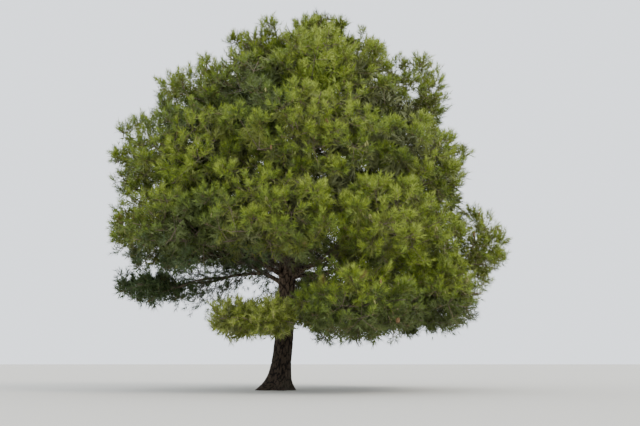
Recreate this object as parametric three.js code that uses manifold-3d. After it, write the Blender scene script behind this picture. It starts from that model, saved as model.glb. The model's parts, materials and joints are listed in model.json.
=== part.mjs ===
// An old, open-grown Aleppo pine: one leaning trunk with a flared foot, boughs that leave it all
// round, and a broad crown of separate masses of needles that hangs lowest on the right.
// Millimetres, +Z up. The origin is on the ground in the middle of the trunk's foot, +X is the
// crown's longer side and -Y is the side that faces the viewer.
import * as THREE from "three";
import { mergeVertices } from "three/addons/utils/BufferGeometryUtils.js";
import Module from "manifold-3d";

const wasm = await Module();
wasm.setup();

// Gaps between solids that touch on the real tree.
const seatGap = 0.3;
const limbClearance = 6;
const massGap = 8;
const weldDistance = 0.001;

// The trunk: its axis as heights with the sideways lean there, and its radius at the same heights.
const trunkHeights = [0, 1000, 2200, 3100, 4200, 5500, 7000, 8020];
const trunkLeanRight = [0, 120, 200, 190, 200, 400, 720, 900];
const trunkLeanBack = [0, 10, 60, 110, 120, 60, 20, 0];
const trunkRadii = [235, 214, 200, 188, 160, 118, 66, 32];
const trunkSides = 16;
const trunkSteps = 16;
const trunkStepGrowth = 1.6;
const trunkTop = trunkHeights[trunkHeights.length - 1];

// The root flare: it dies away within about half a metre and reaches furthest on the left.
const flareHeight = 210;
const flareSpread = 135;
const flareLeftSpread = 190;
const flareRoots = 5;
const flareRootDepth = 55;
const flareRootTurn = 0.55;

// Boughs: their taper, the bend on the way and how the roots of one tier step up and down.
const boughRootRadius = 66;
const boughForkRadius = 40;
const boughTipRadius = 27;
const boughTaper = 0.8;
const boughSides = 6;
const boughSteps = 4;
const boughKneeShare = 0.42;
const boughEntry = 0.96;
const whorlSteps = [0, 0.5, -0.25, 1, -1];

// Stems inside the masses: thicker where they stand straight on the trunk.
const trunkStemRadius = 43;
const stemTipRadius = 16;
const stemSides = 5;
const stemSteps = 3;
const stemStraight = 0.5;

// Twigs branch from the outer part of a stem and fork once, with a tuft of needles on each end.
const twigsPerMass = 6;
const twigRootRadius = 20;
const twigNeckRadius = 26;
const twigFirstShare = 0.3;
const twigLastShare = 0.95;
const twigReaches = [0.985, 0.94, 0.89];
const twigBackwardLimit = 0.75;
const forkShare = 0.3;
const forkTurn = 0.62;
const tuftLength = 460;
const tuftRadius = 200;
const tuftNeedles = 3;
const tuftPoint = 0.3;
const tuftShareLimit = 0.8;
const rootBlendRadii = 3;

// The core that the tufts stand out of, as a share of the mass's space.
const coreShare = 0.8;
const coreLumps = 0.13;
const coreSeed = 100;

// How finely limbs are followed where a neighbour keeps clear of them.
const trunkSamples = 60;
const boughSamples = 24;
const stemSamples = 16;

// The crown: each tier is a ring of masses. How far they reach and how high their middles are is
// given for the right, back, left and front of the tree and blends in between, and masses at the
// front and back stray from that. Radii are radial, tangential and vertical. Masses of the upper
// tiers stand on stems straight off the trunk.
const reachStray = 260;
const heightStray = 330;
const tiers = [
  {
    name: "skirt",
    azimuths: [-54, -22, 12, 42, 70],
    reach: [5100, 4300, 4000, 4500],
    height: [2200, 2150, 2300, 2050],
    radii: [1500, 1500, 960],
    rootHeight: 1950,
    rootSpread: 130,
    knee: 330,
  },
  {
    name: "front_tuft",
    azimuths: [-101],
    reach: [3200, 3200, 3200, 3200],
    height: [1850, 1850, 1850, 1850],
    radii: [900, 1150, 470],
    rootHeight: 1800,
    rootSpread: 100,
    knee: 260,
  },
  {
    name: "lower",
    azimuths: [0, 45, 90, 135, 180, 225, 270, 315],
    names: ["right", "right_back", "back", "left_back", "left", "left_front", "front", "right_front"],
    reach: [5520, 4450, 4090, 4400],
    height: [3200, 3600, 3640, 3700],
    radii: [1600, 1850, 1120],
    rootHeight: 2600,
    rootSpread: 190,
    knee: 160,
  },
  {
    name: "hanging",
    azimuths: [176],
    reach: [4080, 4080, 4080, 4080],
    height: [2400, 2400, 2400, 2400],
    radii: [1230, 1150, 420],
    parent: "bough_lower_left",
    parentShare: 0.42,
    rootSpread: 0,
    knee: 40,
  },
  {
    name: "middle",
    azimuths: [180, 231, 283, 334, 26, 77, 129],
    reach: [4850, 4300, 4120, 4250],
    height: [4800, 5350, 5200, 5250],
    radii: [1600, 1950, 1260],
    rootHeight: 3950,
    rootSpread: 250,
    knee: 560,
  },
  {
    name: "upper",
    azimuths: [0, 60, 120, 180, 240, 300],
    reach: [4250, 3500, 3250, 3400],
    height: [6920, 6800, 6600, 6750],
    radii: [1450, 1700, 1120],
    rootHeight: 5450,
    rootSpread: 250,
    knee: 260,
    onTrunk: true,
  },
  {
    name: "crest",
    azimuths: [0, 72, 144, 216, 288],
    axisX: 500,
    reach: [2300, 2150, 2150, 2050],
    height: [7880, 7750, 7720, 7700],
    radii: [1050, 1200, 980],
    rootHeight: 6750,
    rootSpread: 260,
    knee: 190,
    onTrunk: true,
  },
];
const topMass = { name: "top", centre: [1000, 0, 8560], radii: [760, 800, 780] };

const materials = {
  bark: new THREE.MeshStandardMaterial({ color: 0x4b3f34, roughness: 0.95, metalness: 0 }),
  limb: new THREE.MeshStandardMaterial({ color: 0x5a4c40, roughness: 0.95, metalness: 0 }),
  needles: new THREE.MeshStandardMaterial({ color: 0x6b7628, roughness: 0.7, metalness: 0 }),
};

// Numbers from 0 to 1 that are the same on every run.
function seededRandom(seed) {
  let state = seed;
  return () => {
    state = (state + 0x6d2b79f5) | 0;
    let mixed = Math.imul(state ^ (state >>> 15), 1 | state);
    mixed = (mixed + Math.imul(mixed ^ (mixed >>> 7), 61 | mixed)) ^ mixed;
    return ((mixed ^ (mixed >>> 14)) >>> 0) / 4294967296;
  };
}

// A value at a height, read off a row of heights with straight lines between them.
function readOff(height, heights, values) {
  const next = heights.findIndex((h) => h >= height);
  if (next === 0) return values[0];
  if (next < 0) return values[values.length - 1];
  const share = (height - heights[next - 1]) / (heights[next] - heights[next - 1]);
  return THREE.MathUtils.lerp(values[next - 1], values[next], share);
}

// A value for an azimuth in radians from the four given for the right, back, left and front.
function aroundTree(azimuth, [right, back, left, front]) {
  const c = Math.cos(azimuth);
  const s = Math.sin(azimuth);
  return c * c * (c > 0 ? right : left) + s * s * (s > 0 ? back : front);
}

// A closed solid from any closed geometry.
function solidFrom(geometry) {
  const bare = geometry.index ? geometry.toNonIndexed() : geometry.clone();
  bare.deleteAttribute("normal");
  bare.deleteAttribute("uv");
  const merged = mergeVertices(bare, weldDistance);
  return new wasm.Manifold(
    new wasm.Mesh({
      numProp: 3,
      vertProperties: new Float32Array(merged.attributes.position.array),
      triVerts: new Uint32Array(merged.index.array),
    }),
  );
}

// The geometry of a solid, for a mesh.
function geometryFrom(solid) {
  const { vertProperties, triVerts, numProp, numVert } = solid.getMesh();
  const positions = new Float32Array(numVert * 3);
  for (let i = 0; i < numVert; i++) {
    positions.set(vertProperties.subarray(i * numProp, i * numProp + 3), i * 3);
  }
  const geometry = new THREE.BufferGeometry();
  geometry.setAttribute("position", new THREE.BufferAttribute(positions, 3));
  geometry.setIndex(new THREE.BufferAttribute(new Uint32Array(triVerts), 1));
  geometry.computeVertexNormals();
  return geometry;
}

// The largest body of a solid, without the scraps that a cut leaves.
function largestBody(solid) {
  return solid.decompose().reduce((best, body) => (body.volume() > best.volume() ? body : best));
}

// A closed limb: a cylinder whose rings are carried along a curve. radiusAt gives the radius for
// the share of the way along.
function limbGeometry(curve, radiusAt, sides, steps) {
  const geometry = new THREE.CylinderGeometry(1, 1, 1, sides, steps);
  const frames = curve.computeFrenetFrames(steps);
  const position = geometry.getAttribute("position");
  const point = new THREE.Vector3();
  for (let i = 0; i < position.count; i++) {
    point.fromBufferAttribute(position, i);
    const step = Math.round((point.y + 0.5) * steps);
    const radius = Math.hypot(point.x, point.z) * radiusAt(step / steps);
    const angle = Math.atan2(point.z, point.x);
    const at = curve.getPointAt(step / steps);
    at.addScaledVector(frames.normals[step], radius * Math.cos(angle));
    at.addScaledVector(frames.binormals[step], -radius * Math.sin(angle));
    position.setXYZ(i, at.x, at.y, at.z);
  }
  return geometry;
}

// The trunk's axis at a height.
function trunkAxis(height) {
  const x = readOff(height, trunkHeights, trunkLeanRight);
  const y = readOff(height, trunkHeights, trunkLeanBack);
  return new THREE.Vector3(x, y, height);
}

// How far the flare pushes the bark out at a height and an azimuth.
function flareAt(height, azimuth) {
  const fade = Math.exp(-height / flareHeight);
  const left = Math.max(0, -Math.cos(azimuth)) ** 2;
  const roots = flareRootDepth * Math.cos(flareRoots * azimuth + flareRootTurn);
  return fade * (flareSpread + flareLeftSpread * left + roots);
}

// The trunk from its flat foot to its tip: level rings that follow the axis, closer together at
// the flare. grow is added to the radius, for cutting a neighbour clear of the bark.
function trunkGeometry(grow) {
  const geometry = new THREE.CylinderGeometry(1, 1, 1, trunkSides, trunkSteps);
  const position = geometry.getAttribute("position");
  const point = new THREE.Vector3();
  for (let i = 0; i < position.count; i++) {
    point.fromBufferAttribute(position, i);
    const share = Math.round((point.y + 0.5) * trunkSteps) / trunkSteps;
    const height = trunkTop * share ** trunkStepGrowth;
    const azimuth = Math.atan2(-point.z, point.x);
    const bark = readOff(height, trunkHeights, trunkRadii) + flareAt(height, azimuth) + grow;
    const radius = Math.hypot(point.x, point.z) * bark;
    const at = trunkAxis(height);
    position.setXYZ(i, at.x + radius * Math.cos(azimuth), at.y + radius * Math.sin(azimuth), height);
  }
  return geometry;
}

// Every mass with its centre, its own axes and its radii, in the order of the tiers.
function layOutMasses() {
  const masses = [];
  for (const tier of tiers) {
    tier.azimuths.forEach((degrees, index) => {
      const random = seededRandom(masses.length + 1);
      const azimuth = THREE.MathUtils.degToRad(degrees);
      const outward = new THREE.Vector3(Math.cos(azimuth), Math.sin(azimuth), 0);
      const stray = Math.abs(outward.y);
      const distance = aroundTree(azimuth, tier.reach) - tier.radii[0];
      const centre = outward.clone().multiplyScalar(distance - stray * reachStray * random());
      centre.x += tier.axisX ?? 0;
      centre.z = aroundTree(azimuth, tier.height) + stray * heightStray * (2 * random() - 1);
      const label = tier.names ? tier.names[index] : index + 1;
      masses.push({
        name: tier.azimuths.length > 1 ? `${tier.name}_${label}` : tier.name,
        tier,
        index,
        centre,
        axes: [outward, new THREE.Vector3(-outward.y, outward.x, 0), new THREE.Vector3(0, 0, 1)],
        radii: tier.radii,
        number: masses.length + 1,
        random,
      });
    });
  }
  masses.push({
    name: topMass.name,
    centre: new THREE.Vector3(...topMass.centre),
    axes: [new THREE.Vector3(1, 0, 0), new THREE.Vector3(0, 1, 0), new THREE.Vector3(0, 0, 1)],
    radii: topMass.radii,
    number: masses.length + 1,
    random: seededRandom(masses.length + 1),
  });
  return masses;
}

// How far a mass's ellipsoid reaches from its centre in a direction.
function ellipsoidReach(mass, direction) {
  const [a, b, c] = mass.axes.map((axis, k) => direction.dot(axis) / mass.radii[k]);
  return 1 / Math.sqrt(a * a + b * b + c * c);
}

// The flat walls that part a mass's space from its neighbours' spaces.
function addWalls(masses) {
  for (const mass of masses) {
    mass.walls = [];
    for (const other of masses) {
      if (other === mass) continue;
      const towards = other.centre.clone().sub(mass.centre);
      const apart = towards.length();
      towards.normalize();
      const own = ellipsoidReach(mass, towards);
      const others = ellipsoidReach(other, towards);
      if (own + others + massGap < apart) continue;
      mass.walls.push({ normal: towards, distance: (apart * own) / (own + others) - massGap / 2 });
    }
  }
}

// How far a mass's space reaches from its centre in a direction.
function spaceReach(mass, direction) {
  return mass.walls.reduce((reach, wall) => {
    const slope = direction.dot(wall.normal);
    return slope > 1e-6 ? Math.min(reach, wall.distance / slope) : reach;
  }, ellipsoidReach(mass, direction));
}

function inSpace(mass, point) {
  const offset = point.clone().sub(mass.centre);
  const length = offset.length();
  return length < 1 || length <= spaceReach(mass, offset.divideScalar(length));
}

// The curve of a bough or stem: it bends at a knee and then runs out to the tip.
function boughCurve(root, tip, knee) {
  const middle = root.clone().lerp(tip, boughKneeShare);
  middle.z += knee;
  return new THREE.QuadraticBezierCurve3(root, middle, tip);
}

// The curve of a stem that goes straight on from a flat tip, across the seat gap, and then bends
// to the middle of the mass.
function stemCurve(tip, onward, centre) {
  const root = tip.clone().addScaledVector(onward, seatGap);
  const middle = root.clone().addScaledVector(onward, stemStraight * root.distanceTo(centre));
  return new THREE.QuadraticBezierCurve3(root, middle, centre.clone());
}

// Points down the middle of a limb with the radius there, for keeping needles off it.
function addSamples(limb, count) {
  const points = limb.curve.getSpacedPoints(count);
  limb.samples = points.map((point, i) => ({ point, radius: limb.radiusAt(i / count) }));
  return limb;
}

function limbSolid(limb, grow) {
  const radiusAt = (share) => limb.radiusAt(share) + grow;
  return solidFrom(limbGeometry(limb.curve, radiusAt, limb.sides, limb.steps));
}

// The bough and the stem of every mass, as curves with radii. A bough ends where it enters its
// mass, and the stem goes on from there to the middle of the mass.
function planLimbs(masses) {
  const boughs = new Map();
  for (const mass of masses) {
    const { tier } = mass;
    const stem = { sides: stemSides, steps: stemSteps };
    stem.radiusAt = (share) => THREE.MathUtils.lerp(boughTipRadius, stemTipRadius, share);
    if (!tier) {
      stem.curve = stemCurve(trunkAxis(trunkTop), new THREE.Vector3(0, 0, 1), mass.centre);
    } else {
      const whorl = tier.rootSpread * whorlSteps[mass.index % whorlSteps.length];
      const parent = boughs.get(tier.parent);
      const root = parent ? parent.curve.getPointAt(tier.parentShare) : trunkAxis(tier.rootHeight + whorl);
      if (tier.onTrunk) {
        stem.curve = boughCurve(root, mass.centre.clone(), tier.knee);
        stem.radiusAt = (share) => THREE.MathUtils.lerp(trunkStemRadius, stemTipRadius, share ** boughTaper);
        stem.steps = boughSteps;
      } else {
        const inward = root.clone().sub(mass.centre).normalize();
        const tip = mass.centre.clone().addScaledVector(inward, boughEntry * spaceReach(mass, inward));
        const curve = boughCurve(root, tip, tier.knee);
        const rootRadius = parent ? boughForkRadius : boughRootRadius;
        const bough = {
          name: `bough_${mass.name}`,
          parent: tier.parent ?? "trunk",
          curve,
          radiusAt: (share) => THREE.MathUtils.lerp(rootRadius, boughTipRadius, share ** boughTaper),
          sides: boughSides,
          steps: boughSteps,
        };
        boughs.set(bough.name, addSamples(bough, boughSamples));
        mass.bough = bough;
        stem.curve = stemCurve(tip, curve.getTangentAt(1), mass.centre);
      }
    }
    mass.stem = addSamples(stem, stemSamples);
  }
}

// A twig with a tuft on its end as one solid: a shaft that opens into a ring of needles with a
// last one in the middle. It has three-sided sections and turns by a given angle about its axis.
function twigWithTuft(root, tip, turn) {
  const along = tip.clone().sub(root);
  const length = along.length();
  along.normalize();
  const across = new THREE.Vector3(0, 0, 1).cross(along);
  if (across.lengthSq() < 1e-3) across.set(1, 0, 0);
  across.normalize();
  const up = along.clone().cross(across);
  const tuft = Math.min(tuftLength, length * tuftShareLimit);
  const place = (reach, radius, step) => {
    const angle = turn + (step * Math.PI) / tuftNeedles;
    const point = root.clone().addScaledVector(along, reach);
    point.addScaledVector(across, radius * Math.cos(angle));
    return point.addScaledVector(up, radius * Math.sin(angle));
  };
  const points = [tip.clone()];
  for (let i = 0; i < tuftNeedles; i++) {
    points.push(place(0, twigRootRadius, 2 * i));
    points.push(place(length - tuft, twigNeckRadius, 2 * i));
    points.push(place(length - tuft * tuftPoint, tuftRadius, 2 * i + 1));
  }
  const faces = [[1, 7, 4]];
  for (let i = 0; i < tuftNeedles; i++) {
    const [foot, neck, needle] = [1 + 3 * i, 2 + 3 * i, 3 + 3 * i];
    const j = (i + 1) % tuftNeedles;
    const [nextFoot, nextNeck] = [1 + 3 * j, 2 + 3 * j];
    faces.push([foot, nextFoot, neck], [nextFoot, nextNeck, neck]);
    faces.push([neck, nextNeck, needle], [neck, needle, 0], [needle, nextNeck, 0]);
  }
  const geometry = new THREE.BufferGeometry().setFromPoints(points);
  geometry.setIndex(faces.flat());
  return { geometry, points };
}

// A mass's core: a lumpy ball that fills the inner part of its space.
function coreGeometry(mass) {
  const bare = new THREE.IcosahedronGeometry(1, 1);
  bare.deleteAttribute("normal");
  bare.deleteAttribute("uv");
  const ball = mergeVertices(bare, weldDistance);
  const random = seededRandom(coreSeed + mass.number);
  const position = ball.getAttribute("position");
  const point = new THREE.Vector3();
  for (let i = 0; i < position.count; i++) {
    point.fromBufferAttribute(position, i);
    const direction = new THREE.Vector3();
    mass.axes.forEach((axis, k) => direction.addScaledVector(axis, point.getComponent(k) * mass.radii[k]));
    direction.normalize();
    const lump = 1 + coreLumps * (2 * random() - 1);
    const reach = spaceReach(mass, direction) * coreShare * lump;
    point.copy(mass.centre).addScaledVector(direction, reach);
    position.setXYZ(i, point.x, point.y, point.z);
  }
  return ball;
}

// The directions of a mass's twigs: the leader goes straight out, or up on the top mass, and the
// others are spread evenly over a ball, which is then stretched to the mass.
function twigDirections(mass) {
  const golden = Math.PI * (3 - Math.sqrt(5));
  const start = mass.random() * 2 * Math.PI;
  const count = twigsPerMass - 1;
  const spread = Array.from({ length: count }, (_, i) => {
    const level = 1 - (2 * i + 1) / count;
    const ring = Math.sqrt(1 - level * level);
    const angle = start + golden * i;
    const onBall = [ring * Math.cos(angle), ring * Math.sin(angle), level];
    const direction = new THREE.Vector3();
    mass.axes.forEach((axis, k) => direction.addScaledVector(axis, onBall[k] * mass.radii[k]));
    return direction.normalize();
  });
  return [mass.tier ? mass.axes[0] : mass.axes[2], ...spread];
}

// Whether a twig and its tuft stay in the mass's space and clear of the limbs that pass by.
function twigFits(mass, points, root, tip, limbs) {
  const nearRoot = rootBlendRadii * twigRootRadius;
  if (!points.every((point) => point.distanceTo(root) < nearRoot || inSpace(mass, point))) return false;
  const line = new THREE.Line3(root, tip);
  const near = new THREE.Vector3();
  const bare = 1 - tuftLength / root.distanceTo(tip);
  return limbs.every(({ samples }) =>
    samples.every(({ point, radius }) => {
      const share = line.closestPointToPointParameter(point, true);
      line.at(share, near);
      const width = share > bare ? tuftRadius : twigNeckRadius;
      return near.distanceTo(point) > radius + width + limbClearance;
    }),
  );
}

// Whether a limb comes into the part of a mass's space that its core fills.
function limbNearCore(mass, limb) {
  return limb.samples.some(({ point, radius }) => {
    const offset = point.clone().sub(mass.centre);
    const length = offset.length();
    return length < spaceReach(mass, offset.normalize()) + radius;
  });
}

// A mass of needles: the stem, twigs that branch from it, a tuft on each twig and on its fork,
// and the core that they stand out of, which is cut clear of the limbs that pass by.
function massSolid(mass, limbs, limbCutter) {
  const { curve } = mass.stem;
  const entry = mass.stem.samples.findIndex(({ point }) => inSpace(mass, point)) / stemSamples;
  const backward = curve.getTangentAt(1).negate();
  let core = solidFrom(coreGeometry(mass));
  for (const limb of limbs) {
    if (limbNearCore(mass, limb)) core = core.subtract(limbCutter(limb));
  }
  let solid = largestBody(core).add(limbSolid(mass.stem, 0));
  const addTwig = (root, direction, turn) => {
    const full = spaceReach(mass, direction);
    const tip = mass.centre.clone();
    for (const reach of twigReaches) {
      tip.copy(mass.centre).addScaledVector(direction, reach * full);
      const { geometry, points } = twigWithTuft(root, tip, turn);
      if (direction.dot(backward) < twigBackwardLimit && twigFits(mass, points, root, tip, limbs)) {
        solid = solid.add(solidFrom(geometry));
        return tip;
      }
    }
    return tip;
  };
  for (const direction of twigDirections(mass)) {
    const share = THREE.MathUtils.lerp(twigFirstShare, twigLastShare, mass.random());
    const turn = 2 * Math.PI * mass.random();
    const side = new THREE.Vector3(-direction.y, direction.x, 1e-3).cross(direction).normalize();
    side.applyAxisAngle(direction, 2 * Math.PI * mass.random());
    const root = curve.getPointAt(THREE.MathUtils.lerp(entry, 1, share));
    const tip = addTwig(root, direction, turn);
    const forked = direction.clone().applyAxisAngle(side, forkTurn);
    addTwig(root.clone().lerp(tip, forkShare), forked, turn);
  }
  return largestBody(solid);
}

function namedMesh(name, solid, material) {
  const mesh = new THREE.Mesh(geometryFrom(solid), material);
  mesh.name = name;
  return mesh;
}

function buildTree() {
  const tree = new THREE.Group();
  tree.name = "pine";
  const trunk = {
    name: "trunk",
    curve: new THREE.CatmullRomCurve3(trunkHeights.map(trunkAxis)),
    radiusAt: (share) => readOff(share * trunkTop, trunkHeights, trunkRadii),
  };
  addSamples(trunk, trunkSamples);
  tree.add(namedMesh("trunk", solidFrom(trunkGeometry(0)), materials.bark));

  const masses = layOutMasses();
  addWalls(masses);
  planLimbs(masses);
  const grownSolid = (limb, grow) =>
    limb === trunk ? solidFrom(trunkGeometry(grow)) : limbSolid(limb, grow);
  const boughs = masses.filter((mass) => mass.bough).map((mass) => mass.bough);
  const limbsByName = new Map([trunk, ...boughs].map((limb) => [limb.name, limb]));
  for (const bough of boughs) {
    const parent = grownSolid(limbsByName.get(bough.parent), seatGap);
    const solid = largestBody(limbSolid(bough, 0).subtract(parent));
    tree.add(namedMesh(bough.name, solid, materials.limb));
  }
  for (const mass of masses) {
    const otherStems = masses.filter((other) => other !== mass).map((other) => other.stem);
    const limbs = [trunk, ...boughs.filter((bough) => bough !== mass.bough), ...otherStems];
    let solid = massSolid(mass, limbs, (limb) => grownSolid(limb, limbClearance));
    if (mass.tier?.onTrunk) solid = largestBody(solid.subtract(grownSolid(trunk, seatGap)));
    tree.add(namedMesh(`needles_${mass.name}`, solid, materials.needles));
  }
  return tree;
}

export default buildTree();
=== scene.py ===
import json
import math

import bpy
import numpy as np
from mathutils.kdtree import KDTree
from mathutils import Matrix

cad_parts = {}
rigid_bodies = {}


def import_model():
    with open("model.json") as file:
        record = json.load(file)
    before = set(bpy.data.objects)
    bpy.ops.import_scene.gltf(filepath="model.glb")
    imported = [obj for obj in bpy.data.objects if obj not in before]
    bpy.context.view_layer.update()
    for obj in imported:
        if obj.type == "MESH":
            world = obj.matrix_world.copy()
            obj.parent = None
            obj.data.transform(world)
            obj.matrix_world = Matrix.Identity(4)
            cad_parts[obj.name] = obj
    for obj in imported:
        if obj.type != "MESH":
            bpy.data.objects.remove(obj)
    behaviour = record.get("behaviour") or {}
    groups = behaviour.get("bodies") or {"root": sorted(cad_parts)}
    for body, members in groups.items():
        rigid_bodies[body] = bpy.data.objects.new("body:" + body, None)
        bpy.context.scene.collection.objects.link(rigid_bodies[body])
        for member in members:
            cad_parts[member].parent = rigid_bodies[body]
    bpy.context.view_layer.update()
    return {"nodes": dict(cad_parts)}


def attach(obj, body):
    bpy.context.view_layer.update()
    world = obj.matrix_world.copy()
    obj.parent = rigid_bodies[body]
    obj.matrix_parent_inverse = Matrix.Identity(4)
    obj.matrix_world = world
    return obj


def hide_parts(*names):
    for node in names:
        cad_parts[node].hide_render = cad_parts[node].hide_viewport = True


# An old, open-grown Aleppo pine: fissured bark on the trunk and the boughs, and the solids' own
# rule of growth carried on to twigs, shoots and needles.
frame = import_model()
needleNodes = sorted(name for name in frame["nodes"] if name.startswith("needles_"))
boughNodes = sorted(name for name in frame["nodes"] if name.startswith("bough_"))
finePicker = np.random.default_rng(20)  # for what is finer than the solids
uniform = finePicker.uniform
join = np.concatenate
upward = np.array([0.0, 0.0, 1.0])
fullTurn = 2 * math.pi


def deselectAll():
    bpy.ops.object.select_all(action="DESELECT")


# Colours are sRGB hex values, made linear here and nowhere else.
def linearColour(code):
    shares = [int(code[i:i + 2], 16) / 255 for i in (1, 3, 5)]
    return tuple(s / 12.92 if s <= 0.04045 else ((s + 0.055) / 1.055) ** 2.4 for s in shares) + (1.0,)


# Adds one shader node to a finish, with its values and links.
def addNode(finish, kind, values=None, links=None, **settings):
    node = finish.node_tree.nodes.new("ShaderNode" + kind)
    for name, value in settings.items():
        setattr(node, name, value)
    for name, value in (values or {}).items():
        node.inputs[name].default_value = value
    for name, source in (links or {}).items():
        finish.node_tree.links.new(source, node.inputs[name])
    return node


def plainFinish(name, colour, roughness, specular=0.5):
    finish = bpy.data.materials.new(name)
    finish.use_nodes = True
    shader = finish.node_tree.nodes["Principled BSDF"]
    shader.inputs["Base Color"].default_value = linearColour(colour)
    shader.inputs["Roughness"].default_value = roughness
    shader.inputs["Specular IOR Level"].default_value = specular
    return finish


mixShare, mixFirst, mixSecond, mixResult = 0, 6, 7, 2      # a Mix node's sockets for colours


# Links a colour and a relief of so many metres to a finish.
def linkFinish(finish, colour, height, relief, strength=1.0):
    shader = finish.node_tree.nodes["Principled BSDF"]
    bump = addNode(finish, "Bump", {"Strength": strength, "Distance": relief}, {"Height": height})
    finish.node_tree.links.new(colour, shader.inputs["Base Color"])
    finish.node_tree.links.new(bump.outputs["Normal"], shader.inputs["Normal"])
    return finish


# Two colours by the low and high places of a texture, and relief to match; size in metres.
def grainedFinish(name, low, high, size, limits, relief, roughness, texture="TexNoise"):
    finish = plainFinish(name, low, roughness, specular=0.3)
    place = addNode(finish, "TexCoord").outputs["Object"]
    grain = addNode(finish, texture, {"Scale": 1 / size}, {"Vector": place})
    height = addNode(finish, "MapRange", {"From Min": limits[0], "From Max": limits[1]},
                     {"Value": grain.outputs[0]}).outputs[0]
    colour = addNode(finish, "Mix", {mixFirst: linearColour(low), mixSecond: linearColour(high)},
                     {mixShare: height}, data_type="RGBA")
    return linkFinish(finish, colour.outputs[mixResult], height, relief)


def addObject(name, data):
    added = bpy.data.objects.new(name, data)
    bpy.context.scene.collection.objects.link(added)
    return added


# One piece of the tree from arrays of points and triangles, in place of the nodes.
def buildPiece(name, points, faces, finish, nodes=needleNodes, smooth=False):
    points = np.ascontiguousarray(points, np.float32)
    faces = np.ascontiguousarray(faces, np.int32)
    mesh = bpy.data.meshes.new(name)
    mesh.vertices.add(len(points))
    mesh.vertices.foreach_set("co", points.ravel())
    mesh.loops.add(faces.size)
    mesh.loops.foreach_set("vertex_index", faces.ravel())
    mesh.polygons.add(len(faces))
    mesh.polygons.foreach_set("loop_start", np.arange(0, faces.size, 3, dtype=np.int32))
    mesh.polygons.foreach_set("use_smooth", np.full(len(faces), smooth))
    mesh.update(calc_edges=True)
    mesh.materials.append(finish)
    piece = addObject(name, mesh)
    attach(piece, "root")
    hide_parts(*nodes)
    print(name, "has", len(faces), "triangles")
    return piece


tiny = 1e-9     # the least that a length is divided by


def lengthOf(vectors):
    return np.linalg.norm(vectors, axis=-1)


def unit(vectors):
    return vectors / np.maximum(lengthOf(vectors)[..., None], tiny)


def randomUnits(count):
    return unit(finePicker.normal(size=(count, 3)))


# Two directions square to each given one and to each other.
def squareTo(ways, steep=0.9):
    other = np.where(np.abs(ways[..., 2:3]) < steep, upward, np.array([1.0, 0.0, 0.0]))
    across = unit(np.cross(other, ways))
    return across, np.cross(ways, across)


def between(first, last, share):
    return first + (last - first) * share


def evenAngles(count):
    return np.arange(count) * fullTurn / count


def turned(across, up, angles):
    return across * np.cos(angles) + up * np.sin(angles)


# Each column of values, read at new places.
def columnsAt(at, places, values):
    return np.stack([np.interp(at, places, column) for column in values.T], -1)


# The faces of one small shape, for each of its copies.
def repeatFaces(faces, pointsEach, copies):
    return (np.array(faces) + pointsEach * np.arange(copies)[:, None, None]).reshape(-1, 3)


# The triangles between the rings of a tube.
def wrapFaces(sides, rings):
    here = np.arange(sides) + sides * np.arange(rings - 1)[:, None]
    after = np.roll(here, -1, axis=1)
    return np.stack([here, after, after + sides, here, after + sides, here + sides], -1).reshape(-1, 3)


# Many tapered limbs at once: lines is (limb, ring, 3) and radii is (limb, ring).
def tubes(lines, radii, sides):
    count, rings = radii.shape
    tangents = unit(np.gradient(lines, axis=1))
    across, _ = squareTo(np.repeat(unit(lines[:, -1:] - lines[:, :1]), rings, axis=1))
    across = unit(across - tangents * np.sum(across * tangents, axis=-1, keepdims=True))
    up = np.cross(tangents, across)
    ring = turned(across[:, :, None], up[:, :, None], evenAngles(sides)[:, None])
    points = (lines[:, :, None] + ring * radii[:, :, None, None]).reshape(-1, 3)
    fan = np.arange(1, sides - 1)
    foot = np.stack([0 * fan, fan + 1, fan], -1)
    tip = foot[:, [0, 2, 1]] + sides * (rings - 1)
    return points, repeatFaces(join([wrapFaces(sides, rings), foot, tip]), sides * rings, count)


# Three-sided twigs that all taper alike.
def thinTwigs(lines, radii):
    return tubes(lines, np.tile(np.linspace(*radii, lines.shape[1]), (len(lines), 1)), 3)


def joinMeshes(*meshes):
    points, faces = zip(*meshes)
    starts = np.cumsum([0, *map(len, points[:-1])])
    return join(points), join([part + start for part, start in zip(faces, starts)])


# The rule of the solids, in metres.
trunk = dict(
    heights=[0, 1.0, 2.2, 3.1, 4.2, 5.5, 7.0, 8.02],
    leanRight=[0, 0.12, 0.2, 0.19, 0.2, 0.4, 0.72, 0.9],
    leanBack=[0, 0.01, 0.06, 0.11, 0.12, 0.06, 0.02, 0],
    radii=[0.235, 0.214, 0.2, 0.188, 0.16, 0.118, 0.066, 0.032],
    flareHeight=0.21, flareSpread=0.135, flareLeftSpread=0.19,
    flareRoots=5, flareRootDepth=0.055, flareRootTurn=0.55,
)
trunkTop = trunk["heights"][-1]

bough = dict(
    steps=24, rootRadius=0.066, forkRadius=0.04, tipRadius=0.027, taper=0.8, kneeShare=0.42, entry=0.96,
    whorlSteps=[0, 0.5, -0.25, 1, -1], trunkStemRadius=0.043, stemTipRadius=0.016, stemStraight=0.5,
)

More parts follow.
